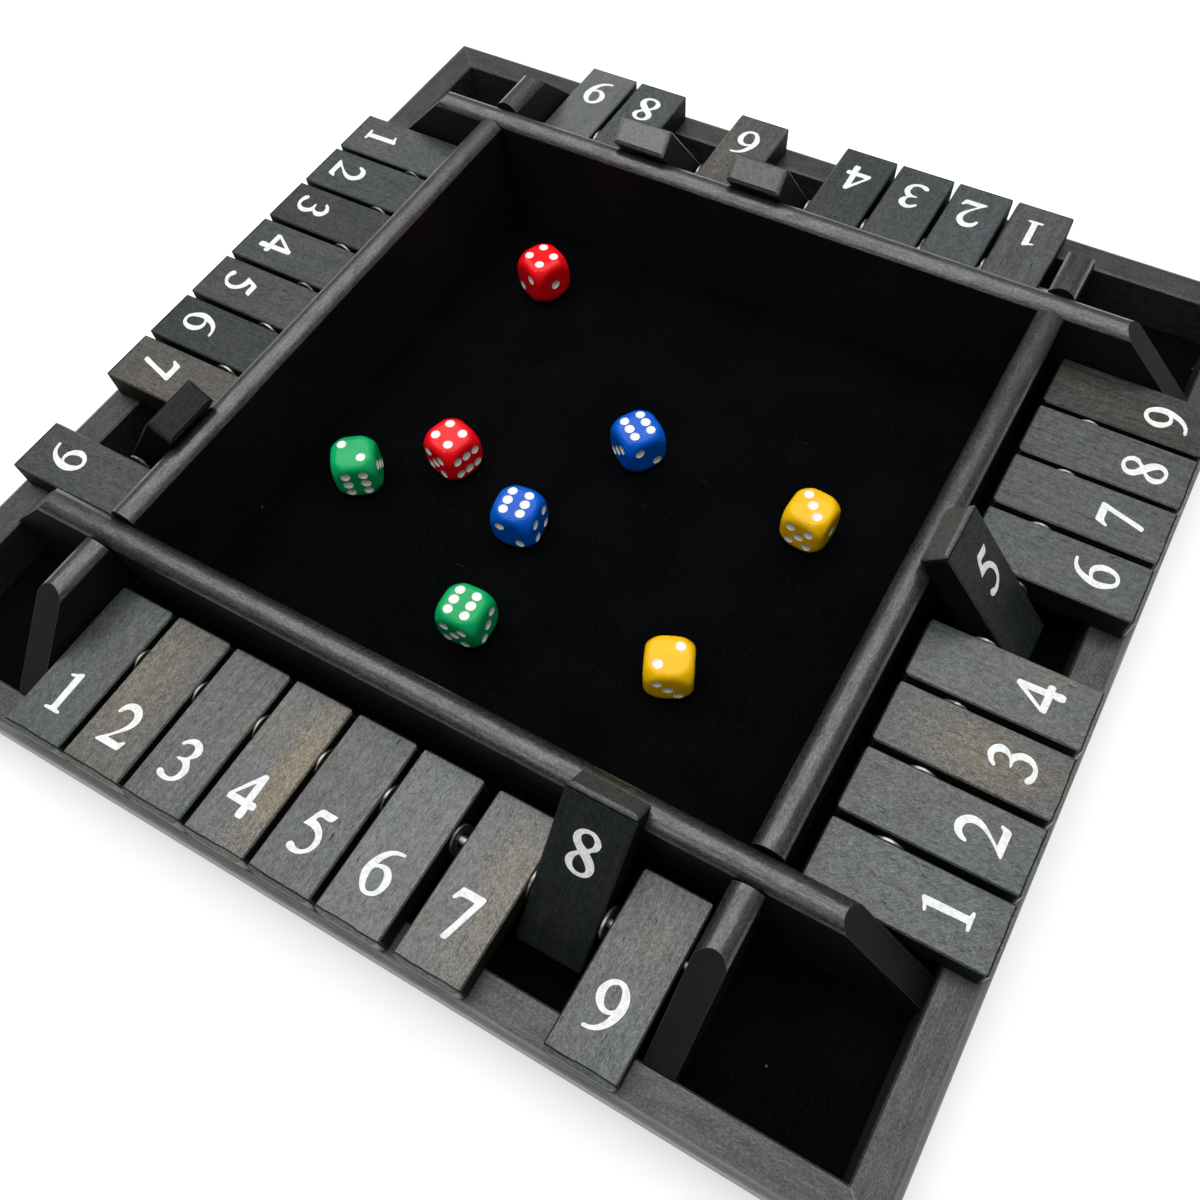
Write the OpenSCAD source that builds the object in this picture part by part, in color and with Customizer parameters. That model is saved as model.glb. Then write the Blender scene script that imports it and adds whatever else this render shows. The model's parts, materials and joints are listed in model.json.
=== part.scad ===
// Shut the box for four players: a square tray with a row of nine numbered flaps on every side.
// Millimetres, +Z up, origin at the middle of the underside.
// Rows are counted front, right, back, left. In each row flap 1 is at the left of the player who
// sits on that side.

/* [Rim and base] */
// Outside length of each side of the square rim
board_side = 305; // [280:5:360]
// Width of the rim boards
rim_w = 11; // [8:0.5:14]
// Height of the rim boards
rim_h = 20; // [17:0.5:26]
// Radius of the outer top edge of the rim
rim_round = 2.2; // [0.5:0.1:2.5]
// Chamfer of the inner top edge of the rim
rim_ease = 0.5; // [0.2:0.1:1]
// Thickness of the base panel
base_t = 5; // [3:0.5:6]
// Width of the rebate under the rim that takes the base panel
rebate_w = 5; // [3:0.5:7]
// Thickness of the felt lining
felt_t = 1.5; // [1:0.25:2]

/* [Bars] */
// Thickness of the bars that the raised flaps lean on
bar_t = 8; // [6:0.5:10]
// Height of the bars above the rim
bar_rise = 22; // [18:0.5:24]
// Distance from a rod to the middle of the bar beside it
bar_offset = 23; // [22:0.5:25]
// Height of the rounded crown along the top of the bars
bar_crown = 2.2; // [2:0.1:3.5]
// Length of the sloped part at each end of a bar
bar_run = 25; // [22:0.5:28]
// Slope of that part at the left end of each bar, seen from its side of the board
slope_left = [40.5, 40.5, 40.5, 40.5]; // [38:0.5:46.5]
// Slope of that part at the right end of each bar
slope_right = [46.5, 40.5, 40.5, 40.5]; // [38:0.5:46.5]
// Open joint at each side of the laps, seen from above
lap_open = 0.8; // [0.2:0.1:1]
// Depth of the rod sockets in the bars
socket_deep = 6; // [4:0.5:7]

/* [Rods and washers] */
// Diameter of the pivot rods
rod_d = 2.5; // [2:0.5:4]
// Distance from a rod to the outside of the rim beside it
rod_inset = 33.5; // [31:0.5:36]
// Outside diameter of the washers between the flaps
washer_d = 8.5; // [7:0.5:12]
// Thickness of the washers
washer_t = 0.6; // [0.4:0.1:1]
// Share of the play beside it that a washer takes up by leaning
washer_lean = 0.5; // [0:0.1:0.9]
// Share of the play left then that lies between the washer and the lower of its two flaps
washer_lie = 0.2; // [0.1:0.1:0.9]

/* [Flaps] */
// Thickness of a flap
flap_t = 8; // [6:0.5:9]
// Length of a flap from its rod to its hidden inner end
flap_tail = 14.8; // [10:0.1:15]
// Distance from the outer end of a flap that lies down to the outside of the rim
flap_setback = 1.9; // [1:0.1:5]
// Gap between two flaps of a row that lies in even spacing
flap_gap = 1.6; // [1.2:0.1:2.5]
// Gap between the end flaps of such a row and the bars
row_end_gap = 2.35; // [1.6:0.05:4]
// Corner radius of a flap, seen from above
flap_corner = 2; // [0.5:0.1:3]
// Chamfer along the edges of a flap
flap_ease = 0.5; // [0.2:0.1:1]
// Larger chamfer along the top and bottom edges of its outer end
flap_nose = 1; // [0.5:0.1:1.5]

/* [Loose play] */
// Where flap 1 of each row lies along its rod, from -1 against flap 1's bar to 1 against flap 9's
row_lie = [-0.65, -0.15, 0.75, -0.65]; // [-0.9:0.05:0.9]
// Share of the play left towards flap 9's bar that has opened between the flaps of each row
row_open = [0.6, 0.8, 0, 0]; // [0:0.05:1]
// Flap of each row from which that gap opens
open_from = [6, 1, 1, 1]; // [1:1:6]
// Flap of each row at which it is whole
open_to = [7, 7, 9, 9]; // [7:1:9]
// Where the raised flaps of each row lie in the play at their washers, from -1 to 1
raised_lie = [-0.7, 0, 0, 0]; // [-0.7:0.1:0.7]

/* [Dice] */
// Size of a die across its faces
die_size = 14; // [10:0.5:18]
// Radius of the edges of a die
die_edge = 1.8; // [0.8:0.1:2.5]
// Diameter of the ball that rounds the corners of a die, as a share of its size
die_ball = 1.36; // [1.3:0.01:1.5]
// Diameter of a pip
pip_d = 3.1; // [2:0.1:3.6]
// Depth of a pip
pip_deep = 0.4; // [0.2:0.1:0.8]
// Distance from the middle of a face to its outer pips, along each side
pip_out = 2.95; // [2.5:0.05:3.6]
// The same for a six, across its two rows of pips and along them
six_out = [2.75, 3.5]; // [2.5:0.05:3.6]

/* [Clearances] */
// Radial play of a flap on its rod
bore_play = 0.08; // [0.05:0.01:0.1]
// Radial play of a washer on its rod
washer_play = 0.75; // [0.3:0.05:1]
// Radial play of a rod in its sockets
socket_play = 0.05; // [0.02:0.01:0.1]
// Play of the base panel in its rebate
panel_play = 0.15; // [0.05:0.05:0.3]
// Play of the felt pieces at walls and bars
felt_play = 0.2; // [0.1:0.05:0.4]
// Play in the hidden half of the laps
lap_play = 0.1; // [0.05:0.05:0.2]
// Clearance under flaps and dice that lie down, and behind flaps that lean
rest_play = 0.1; // [0.05:0.05:0.2]

/* [Hidden] */
ROWS = ["front", "right", "back", "left"];
FLAPS = 9;
BOARD = [for (row = ROWS) str("rim_", row)];
BARS = [for (row = ROWS) str("bar_", row)];
DICE = ["die_red_1", "die_red_2", "die_green_1", "die_green_2",
        "die_blue_1", "die_blue_2", "die_yellow_1", "die_yellow_2"];

$fn = 32;
eps = 0.01;
over = 2;                                  // how far a cutting shape reaches past what it cuts
black_wood = [0.10, 0.10, 0.11];
felt_black = [0.03, 0.03, 0.035];
slate_wood = [0.27, 0.30, 0.31];
steel = [0.75, 0.75, 0.74];
red = [0.80, 0.03, 0.05];
green = [0.08, 0.60, 0.33];
blue = [0.05, 0.28, 0.80];
yellow = [0.95, 0.76, 0.03];

half = board_side / 2;
wall = half - rim_w;                       // inner wall of the rim
felt_z = base_t + felt_t;                  // top of the felt
rod_pos = half - rod_inset;                // rods, from the middle of the board
rod_z = rim_h + rest_play + flap_t / 2;
bar_pos = rod_pos - bar_offset;            // middle of the bars
bar_top = rim_h + bar_rise;
bar_in = bar_pos - bar_t / 2;              // faces of the bars towards the tray
bar_out = bar_pos + bar_t / 2;
crown_r = (pow(bar_t / 2, 2) + pow(bar_crown, 2)) / (2 * bar_crown);
lap_z = (base_t + bar_top) / 2;            // height at which the bars cross
flap_reach = rod_inset - flap_setback;     // from the rod to the outer end
flap_w = (2 * bar_in - 2 * row_end_gap - (FLAPS - 1) * flap_gap) / FLAPS;
flap_pitch = flap_w + flap_gap;
end_stop = 0.95;                           // a row never quite touches its bars
// A raised flap leans on the crown of its bar, which sets how far it turns.
lean_y = bar_offset;
lean_z = bar_top - crown_r - rod_z;
lean_off = flap_t / 2 + crown_r + rest_play;
flap_turn = 180 - atan2(lean_z, lean_y) - asin(lean_off / norm([lean_y, lean_z]));

// Flaps that stand up, by row
raised = [[8], [5], [5, 7], [8]];
// Dice as they lie: place in the tray as a share of the way from its middle to its sides, turn,
// values on top, in front and at the right, and for these faces whether their pips are mirrored
dice = [
    [red,    [-0.676,  0.705],   -23, [4, 2, 1], [0, 1, 0]],
    [red,    [-0.508, -0.145], -15.5, [4, 5, 6], [0, 0, 1]],
    [green,  [-0.755, -0.354],  36.3, [2, 6, 3], [0, 0, 0]],
    [green,  [-0.107, -0.666],   3.2, [6, 5, 3], [0, 0, 1]],
    [blue,   [ 0.023,  0.174],   -33, [6, 3, 2], [1, 1, 0]],
    [blue,   [-0.163, -0.275],     8, [6, 2, 4], [0, 0, 0]],
    [yellow, [ 0.661,  0.148],    -4, [3, 5, 1], [0, 0, 0]],
    [yellow, [ 0.523, -0.528],  24.5, [2, 3, 1], [1, 0, 0]],
];

function is_raised(row, n) = len(search(n, raised[row])) > 0;
function opened(row, n) =
    max(0, min(1, (n - open_from[row]) / (open_to[row] - open_from[row])));
function flap_lie(row, n) =
    row_lie[row] + (end_stop - row_lie[row]) * row_open[row] * opened(row, n);
function raised_shift(row, n) =
    is_raised(row, n) ? raised_lie[row] * (flap_gap - washer_t) : 0;
function flap_x(row, n) =
    (n - (FLAPS + 1) / 2) * flap_pitch + flap_lie(row, n) * row_end_gap + raised_shift(row, n);

// Turns the front row's place into that of another row.
module on_row(row) { rotate([0, 0, 90 * row]) children(); }

// Extrudes a Y-Z outline along X, centred.
module along_x(length) {
    rotate([90, 0, 90]) linear_extrude(length, center = true) children();
}

// Rim: four boards, mitred at the corners, with a rebate for the base panel.
module rim_outline() {
    difference() {
        translate([-half, 0]) square([rim_w, rim_h]);
        translate([-wall - rebate_w, -eps]) square([rebate_w + eps, base_t + eps]);
        difference() {
            translate([-half - eps, rim_h - rim_round]) square(rim_round + eps);
            translate([-half + rim_round, rim_h - rim_round]) circle(rim_round);
        }
        translate([-wall, rim_h]) rotate(45) square(rim_ease * sqrt(2), center = true);
    }
}

module rim_board(row) {
    color(black_wood) on_row(row) intersection() {
        along_x(board_side) rim_outline();
        linear_extrude(rim_h)
            polygon([[-half, -half], [half, -half], [0, 0]]);
    }
}

module base_panel() {
    side = 2 * (wall + rebate_w - panel_play);
    color(black_wood) linear_extrude(base_t) square(side, center = true);
}

// Felt: one piece in the tray and eight around it, cut to fit between the bars.
module felt_tray() {
    color(felt_black) translate([0, 0, base_t]) linear_extrude(felt_t)
        square(2 * (bar_in - felt_play), center = true);
}

module felt_wells() {
    from = bar_out + felt_play;
    to = wall - felt_play;
    color(felt_black) translate([0, 0, base_t]) linear_extrude(felt_t)
        for (row = [0 : 3]) rotate(90 * row) {
            translate([from - bar_out - bar_in, -to]) square([2 * (bar_in - felt_play), to - from]);
            translate([from, -to]) square(to - from);
        }
}

// Bars: crowned on top, sloped off at the ends down to the rim, lapped where they cross.
module bar_blank(row) {
    crown_z = bar_top - bar_crown;
    top_end = wall - bar_run;
    intersection() {
        along_x(2 * wall) {
            translate([-bar_t / 2, base_t]) square([bar_t, crown_z - base_t]);
            intersection() {
                translate([0, bar_top - crown_r]) circle(crown_r, $fn = 64);
                translate([-bar_t / 2, crown_z - eps]) square([bar_t, bar_crown + 2 * eps]);
            }
        }
        rotate([90, 0, 0]) linear_extrude(bar_t + over, center = true)
            polygon([[-wall, base_t], [wall, base_t],
                     [wall, bar_top - bar_run * tan(slope_right[row])], [top_end, bar_top],
                     [-top_end, bar_top], [-wall, bar_top - bar_run * tan(slope_left[row])]]);
    }
}

module lap_cut(gap, z, deep) {
    for (end = [-1, 1])
        translate([end * bar_pos, 0, z + deep / 2])
            cube([bar_t + 2 * gap, bar_t + over, deep], center = true);
}

module rod_sockets() {
    socket_d = rod_d + 2 * socket_play;
    for (end = [-1, 1])
        translate([end * rod_pos, bar_t / 2 - socket_deep, rod_z])
            rotate([-90, 0, 0]) cylinder(d = socket_d, h = socket_deep + eps);
}

module bar(row) {
    through = row % 2 == 0;
    color(black_wood) on_row(row) translate([0, -bar_pos, 0]) difference() {
        bar_blank(row);
        if (through) lap_cut(lap_play, base_t - eps, lap_z - base_t + eps);
        else lap_cut(lap_open, lap_z, bar_top - lap_z + eps);
        rod_sockets();
    }
}

// Rods: one along each row, held in the bars at its two ends.
module pivot_rods() {
    length = 2 * (bar_in + socket_deep - felt_play);
    color(steel) for (row = [0 : 3]) on_row(row)
        translate([-length / 2, -rod_pos, rod_z]) rotate([0, 90, 0]) cylinder(d = rod_d, h = length);
}

module washer() {
    rotate([0, 90, 0]) difference() {
        cylinder(d = washer_d, h = washer_t, center = true);
        cylinder(d = rod_d + 2 * washer_play, h = washer_t + over, center = true, $fn = 16);
    }
}

// Washers: loose on the rods between the flaps. Each hangs from its rod and leans a little, with
// its top towards the flap on its left.
module washers() {
    drop = washer_play - 2 * rest_play;
    color(steel) for (row = [0 : 3], n = [1 : FLAPS - 1]) {
        side = flap_x(row, n) + flap_w / 2;
        play = flap_x(row, n + 1) - flap_w / 2 - side - washer_t;
        lean = asin(washer_lean * play / washer_d);
        clear = washer_lie * (1 - washer_lean) * play;
        on_row(row)
            translate([side + clear + (washer_t + washer_lean * play) / 2, -rod_pos, rod_z - drop])
                rotate([0, -lean, 0]) washer();
    }
}

// Flap: a wooden block with eased edges, bored across for its rod. It lies down with its outer
// end on the rim, or leans on the bar after a turn of flap_turn.
module eased_rectangle(size, nose = flap_ease) {
    difference() {
        square(size, center = true);
        for (x = [-1, 1], y = [-1, 1])
            translate([x * size[0] / 2, y * size[1] / 2])
                rotate(45) square((x < 0 ? nose : flap_ease) * sqrt(2), center = true);
    }
}

module rounded_rectangle(size, radius) {
    square([size[0] - 2 * radius, size[1]], center = true);
    square([size[0], size[1] - 2 * radius], center = true);
    for (x = [-1, 1], y = [-1, 1])
        translate([x * (size[0] / 2 - radius), y * (size[1] / 2 - radius)])
            circle(radius, $fn = 16);
}

module flap_block() {
    length = flap_reach + flap_tail;
    difference() {
        translate([0, (flap_tail - flap_reach) / 2, 0]) intersection() {
            linear_extrude(flap_t, center = true)
                rounded_rectangle([flap_w, length], flap_corner);
            along_x(flap_w + over) eased_rectangle([length, flap_t], flap_nose);
            rotate([90, 0, 0]) linear_extrude(length + over, center = true)
                eased_rectangle([flap_w, flap_t]);
        }
        rotate([0, 90, 0])
            cylinder(d = rod_d + 2 * bore_play, h = flap_w + over, center = true, $fn = 16);
    }
}

module flap(row, n) {
    turn = is_raised(row, n) ? flap_turn : 0;
    color(slate_wood) on_row(row)
        translate([flap_x(row, n), -rod_pos, rod_z]) rotate([-turn, 0, 0]) flap_block();
}

// Dice: rounded cubes with sunk pips, opposite faces adding up to seven.
function pips(value) =
    value == 6 ? [for (x = [-1, 1], y = [-1 : 1]) [x * six_out[0], y * six_out[1]]] :
    pip_out * concat(
        value % 2 == 1 ? [[0, 0]] : [],
        value > 1 ? [[-1, 1], [1, -1]] : [],
        value > 3 ? [[-1, -1], [1, 1]] : []);

module die_face(value, flip) {
    for (p = pips(value)) {
        q = flip == 1 ? [p[1], -p[0]] : p;
        translate([q[0], q[1], die_size / 2 - pip_deep])
            cylinder(d1 = pip_d / 2, d2 = pip_d, h = pip_deep + eps, $fn = 14);
    }
}

module die_blank() {
    intersection_for (turn = [[0, 0, 0], [90, 0, 0], [0, 90, 0]])
        rotate(turn) linear_extrude(die_size, center = true)
            rounded_rectangle([die_size, die_size], die_edge);
}

module die(i) {
    tint = dice[i][0];
    place = bar_in * dice[i][1];
    value = dice[i][3];
    flip = dice[i][4];
    color(tint) translate([place[0], place[1], felt_z + rest_play + die_size / 2])
        rotate([0, 0, dice[i][2]]) difference() {
            intersection() {
                die_blank();
                sphere(d = die_size * die_ball, $fn = 20);
            }
            die_face(value[0], flip[0]);
            rotate([90, 0, 0]) die_face(value[1], flip[1]);
            rotate([90, 0, 90]) die_face(value[2], flip[2]);
            rotate([180, 0, 0]) die_face(7 - value[0], flip[0]);
            rotate([90, 0, 180]) die_face(7 - value[1], flip[1]);
            rotate([90, 0, 270]) die_face(7 - value[2], flip[2]);
        }
}

for (row = [0 : 3]) {
    rim_board(row);
    bar(row);
    for (n = [1 : FLAPS])
        flap(row, n);
}
base_panel();
felt_tray();
felt_wells();
pivot_rods();
washers();
for (i = [0 : len(DICE) - 1])
    die(i);
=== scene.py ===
import json
import math

import bpy
from mathutils import Matrix, Vector


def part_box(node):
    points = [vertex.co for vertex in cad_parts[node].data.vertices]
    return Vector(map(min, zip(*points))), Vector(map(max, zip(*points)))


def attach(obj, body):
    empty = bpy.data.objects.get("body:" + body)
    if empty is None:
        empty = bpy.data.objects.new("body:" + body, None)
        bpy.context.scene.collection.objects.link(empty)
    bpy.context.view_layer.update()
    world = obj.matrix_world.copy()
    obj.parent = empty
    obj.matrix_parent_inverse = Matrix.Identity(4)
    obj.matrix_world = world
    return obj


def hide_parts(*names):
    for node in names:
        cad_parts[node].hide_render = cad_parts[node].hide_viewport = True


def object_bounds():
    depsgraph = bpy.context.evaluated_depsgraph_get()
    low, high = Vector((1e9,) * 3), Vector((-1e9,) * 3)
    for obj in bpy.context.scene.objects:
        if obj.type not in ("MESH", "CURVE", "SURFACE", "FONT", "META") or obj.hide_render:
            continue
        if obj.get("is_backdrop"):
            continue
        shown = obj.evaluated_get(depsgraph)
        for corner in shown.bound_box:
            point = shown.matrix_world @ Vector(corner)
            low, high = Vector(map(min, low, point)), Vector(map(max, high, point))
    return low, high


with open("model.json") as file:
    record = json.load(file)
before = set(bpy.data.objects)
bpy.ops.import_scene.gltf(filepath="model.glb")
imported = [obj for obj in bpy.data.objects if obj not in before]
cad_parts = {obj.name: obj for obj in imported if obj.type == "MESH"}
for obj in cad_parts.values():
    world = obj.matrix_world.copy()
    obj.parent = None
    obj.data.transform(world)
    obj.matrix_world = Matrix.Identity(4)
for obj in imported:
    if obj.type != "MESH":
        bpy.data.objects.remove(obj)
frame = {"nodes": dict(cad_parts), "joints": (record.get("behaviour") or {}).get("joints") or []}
cad_low, cad_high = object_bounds()
nodes = frame["nodes"]
bpy.ops.object.select_all(action="DESELECT")

# Rim: four mitred hardwood boards, stained black and lacquered. The lacquer has sunk into the
# grain, so it mirrors in soft ripples, and it is rubbed thin and grey along the edges.
rim_black = (0.010, 0.0105, 0.0105, 1)
rim_grain = (0.036, 0.034, 0.031, 1)
rubbed_grey = (0.19, 0.19, 0.185, 1)
dust_grey = (0.30, 0.30, 0.29, 1)
rim_round = 0.0022                                 # m, radius of the rim's outer top edge
round_start = cad_high[0] - rim_round              # m, from the middle of the board
bar_crown = 0.0022                                 # m, rise of the round top of a bar
crown_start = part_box("bar_front")[1][2] - bar_crown


def put(tree, kind, sockets=None, **settings):
    """Adds a node, sets it, and links or fills its sockets by name or number."""
    node = tree.nodes.new(kind)
    for name, value in settings.items():
        setattr(node, name, value)
    for name, value in (sockets or {}).items():
        if isinstance(value, bpy.types.NodeSocket):
            tree.links.new(value, node.inputs[name])
        else:
            node.inputs[name].default_value = value
    return node


def sum_up(tree, operation, first, second, third=0.0, clamp=False):
    """The result of one Math node."""
    node = put(tree, "ShaderNodeMath", {0: first, 1: second, 2: third}, operation=operation,
               use_clamp=clamp)
    return node.outputs[0]


def blend(tree, share, under, over, blend_type="MIX"):
    """Lays one colour over another by a share."""
    node = put(tree, "ShaderNodeMix", {0: share, 6: under, 7: over}, data_type="RGBA",
               blend_type=blend_type)
    return node.outputs[2]


def ramp(tree, value, low, high, to_low=0.0, to_high=1.0):
    """Spreads a value between two limits, with soft ends."""
    node = put(tree, "ShaderNodeMapRange",
               {"Value": value, "From Min": low, "From Max": high, "To Min": to_low,
                "To Max": to_high}, interpolation_type="SMOOTHSTEP")
    return node.outputs[0]


def stretch(tree, place, factors):
    """Scales coordinates, so that a noise on them runs long one way."""
    return put(tree, "ShaderNodeVectorMath", {0: place, 1: factors}, operation="MULTIPLY").outputs[0]


def noise(tree, place, scale, detail=3.0, seed=0.0, rough=0.5):
    """A noise between about 0.25 and 0.75."""
    return put(tree, "ShaderNodeTexNoise",
               {"Vector": place, "W": seed, "Scale": scale, "Detail": detail, "Roughness": rough},
               noise_dimensions="4D").outputs["Fac"]


def new_group(name, takes, gives):
    """An empty node group. takes and gives are lists of (name, kind, start value)."""
    tree = bpy.data.node_groups.new(name, "ShaderNodeTree")
    for side, sockets in (("INPUT", takes), ("OUTPUT", gives)):
        for label, kind, start in sockets:
            socket = tree.interface.new_socket(label, in_out=side, socket_type="NodeSocket" + kind)
            if start is not None:
                socket.default_value = start
    return tree, tree.nodes.new("NodeGroupInput").outputs, tree.nodes.new("NodeGroupOutput")


def use_group(tree, group, sockets):
    """Places a node group with its own values."""
    return put(tree, "ShaderNodeGroup", sockets, node_tree=group).outputs


def new_material(name, **plain):
    """A material with one Principled shader, whose plain values are set on its own sockets."""
    material = bpy.data.materials.new(name)
    material.use_nodes = True
    tree = material.node_tree
    shader = tree.nodes["Principled BSDF"]
    for socket, value in plain.items():
        shader.inputs[socket.replace("_", " ")].default_value = value
    return material, tree, shader


def dress(material, *names):
    """Gives CAD nodes their finish."""
    for name in names:
        nodes[name].data.materials.clear()
        nodes[name].data.materials.append(material)


# Edges that hands have rubbed: a mask that is strong on outer corners and broken up by noise.
rubbed, has, out = new_group(
    "rubbed_edges",
    [("Reach", "Float", 0.0006), ("Round", "Float", 0.0002), ("Patchy", "Float", 0.6)],
    [("Mask", "Float", None), ("Normal", "Vector", None)])
soft = put(rubbed, "ShaderNodeBevel", {"Radius": has["Reach"]}, samples=6).outputs[0]
flat = put(rubbed, "ShaderNodeNewGeometry").outputs["Normal"]
turned = put(rubbed, "ShaderNodeVectorMath", {0: soft, 1: flat}, operation="DOT_PRODUCT")
corner = ramp(rubbed, turned.outputs["Value"], 0.985, 0.80)
where = put(rubbed, "ShaderNodeTexCoord").outputs["Object"]
broken = ramp(rubbed, noise(rubbed, where, 420, 5), 0.36, 0.60)
kept = sum_up(rubbed, "MULTIPLY_ADD", sum_up(rubbed, "SUBTRACT", broken, 1.0), has["Patchy"], 1.0)
rubbed.links.new(sum_up(rubbed, "MULTIPLY", corner, kept, clamp=True), out.inputs["Mask"])
eased = put(rubbed, "ShaderNodeBevel", {"Radius": has["Round"]}, samples=4).outputs[0]
rubbed.links.new(eased, out.inputs["Normal"])

# Lacquer over open grain: long low ripples along the board, dents, fine grit, pits and dust.
lacquer, has, out = new_group(
    "rippled_lacquer",
    [("Place", "Vector", None), ("Ripple", "Float", 1.0), ("Dents", "Float", 0.2),
     ("Grit", "Float", 0.5)],
    [("Height", "Float", None), ("Dust", "Float", None), ("Grains", "Float", None),
     ("Gloss", "Float", None)])
waves = noise(lacquer, stretch(lacquer, has["Place"], (55, 240, 240)), 1.0, 2)
fibre = noise(lacquer, stretch(lacquer, has["Place"], (130, 1500, 1500)), 1.0, 4)
grit = noise(lacquer, stretch(lacquer, has["Place"], (1000, 3600, 3600)), 1.0, 2, 2.0, 0.6)
dents = ramp(lacquer, noise(lacquer, stretch(lacquer, has["Place"], (230, 760, 760)), 1.0, 2, 9.0),
             0.55, 0.66)
pits = ramp(lacquer, noise(lacquer, stretch(lacquer, has["Place"], (500, 2600, 2600)), 1.0, 2),
            0.36, 0.26)
chatter = noise(lacquer, stretch(lacquer, has["Place"], (140, 620, 620)), 1.0, 2, 5.0)
rise = sum_up(lacquer, "MULTIPLY_ADD", waves, 1.4, sum_up(lacquer, "MULTIPLY", fibre, 0.4))
rise = sum_up(lacquer, "MULTIPLY_ADD", chatter, 0.9, rise)
rise = sum_up(lacquer, "MULTIPLY", sum_up(lacquer, "MULTIPLY_ADD", pits, -0.3, rise), has["Ripple"])
rise = sum_up(lacquer, "MULTIPLY_ADD", grit, has["Grit"], rise)
tops = put(lacquer, "ShaderNodeSeparateXYZ", {0: has["Place"]}).outputs[2]
sunk = sum_up(lacquer, "MULTIPLY", sum_up(lacquer, "MULTIPLY", dents, has["Dents"]),
              ramp(lacquer, tops, crown_start - 0.0005, crown_start + 0.0001))
lacquer.links.new(sum_up(lacquer, "SUBTRACT", rise, sunk), out.inputs["Height"])
specks = ramp(lacquer, noise(lacquer, has["Place"], 2400, 2, 7.0), 0.70, 0.78)
film = ramp(lacquer, noise(lacquer, has["Place"], 60, 5, 3.0), 0.40, 0.70)
lacquer.links.new(sum_up(lacquer, "MULTIPLY_ADD", film, 0.25, specks, clamp=True), out.inputs["Dust"])
lacquer.links.new(ramp(lacquer, grit, 0.42, 0.66), out.inputs["Grains"])
streaky = sum_up(lacquer, "MULTIPLY", ramp(lacquer, fibre, 0.32, 0.68, 0.80, 1.12),
                 ramp(lacquer, chatter, 0.35, 0.60, 0.75, 1.10))
lacquer.links.new(sum_up(lacquer, "MULTIPLY", ramp(lacquer, grit, 0.32, 0.70, 0.46, 0.88), streaky,
                         clamp=True), out.inputs["Gloss"])


def lacquered(name, along, black, grey, wear, patchy, ripple, dents, grit, rough, shine, coat):
    """Black lacquer on a board that runs along X (0) or Y (90). Only a bar has a dented crown."""
    material, tree, shader = new_material(name, Specular_IOR_Level=shine, Coat_Roughness=rough,
                                          Coat_IOR=1.8)
    turn = math.radians(along)
    place = put(tree, "ShaderNodeMapping",
                {"Vector": put(tree, "ShaderNodeTexCoord").outputs["Object"],
                 "Rotation": (0, 0, turn)}, vector_type="TEXTURE").outputs[0]
    edges = use_group(tree, rubbed, {"Reach": wear, "Round": 0.0002, "Patchy": patchy})
    skin = use_group(tree, lacquer, {"Place": place, "Ripple": ripple, "Dents": dents, "Grit": grit})
    sides = put(tree, "ShaderNodeSeparateXYZ", {0: place}).outputs
    outward = sum_up(tree, "ABSOLUTE", sides[1], 0.0)
    top, height, gloss = 1.0, skin["Height"], skin["Gloss"]
    if dents:
        facing = put(tree, "ShaderNodeNewGeometry").outputs["True Normal"]
        facing = put(tree, "ShaderNodeVectorMath", {0: facing, 1: (math.cos(turn), math.sin(turn), 0)},
                     operation="DOT_PRODUCT").outputs["Value"]
        slope = ramp(tree, sum_up(tree, "ABSOLUTE", facing, 0.0), 0.3, 0.5)
        top = sum_up(tree, "MULTIPLY", ramp(tree, sides[2], crown_start - 0.0006, crown_start),
                     sum_up(tree, "SUBTRACT", 1.0, slope))
        height = sum_up(tree, "MULTIPLY", height, sum_up(tree, "MULTIPLY_ADD", slope, -0.7, 1.0))
        gloss = sum_up(tree, "MULTIPLY", gloss, top)
        rough = sum_up(tree, "MULTIPLY_ADD", top, -0.25, rough + 0.25)

    # Grey grains in the black, then dust, then bare wood on the edges and along the outer round, with
    # a dark line where the round starts. On a bar the grey grains and most of the dust are kept to the
    # crown. They are real grit and dust, and with them come a painted highlight on the crown and
    # painted shade on the slopes and sides.
    colour = blend(tree, sum_up(tree, "MULTIPLY", skin["Grains"], top), black, grey)
    dust = sum_up(tree, "MULTIPLY", skin["Dust"], sum_up(tree, "MULTIPLY_ADD", top, 0.08, 0.02))
    colour = blend(tree, dust, colour, dust_grey)
    on_round = ramp(tree, outward, round_start, round_start + 0.0006)
    worn = sum_up(tree, "MULTIPLY_ADD", on_round, 0.62,
                  sum_up(tree, "MULTIPLY", edges["Mask"], 0.62), clamp=True)
    colour = blend(tree, worn, colour, rubbed_grey)
    line = sum_up(tree, "ABSOLUTE", sum_up(tree, "SUBTRACT", outward, round_start - 0.00025),
                  0.0)
    colour = blend(tree, ramp(tree, line, 0.00022, 0.00010, 0.0, 0.85), colour, black)
    tree.links.new(colour, shader.inputs["Base Color"])
    tree.links.new(sum_up(tree, "MULTIPLY_ADD", skin["Dust"], 0.16,
                          sum_up(tree, "MULTIPLY_ADD", edges["Mask"], 0.15, rough)),
                   shader.inputs["Roughness"])
    tree.links.new(sum_up(tree, "MULTIPLY", gloss, coat), shader.inputs["Coat Weight"])
    bump = put(tree, "ShaderNodeBump", {"Height": height, "Normal": edges["Normal"],
                                        "Strength": 0.6, "Distance": 0.00012})
    tree.links.new(bump.outputs[0], shader.inputs["Normal"])
    return material


for along, boards in ((0, ("rim_front", "rim_back")), (90, ("rim_right", "rim_left"))):
    dress(lacquered("rim_lacquer_%d" % along, along, rim_black, rim_grain, wear=0.0007, patchy=0.55,
                    ripple=0.5, dents=0.0, grit=0.75, rough=0.42, shine=0.10, coat=0.80), *boards)

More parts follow.
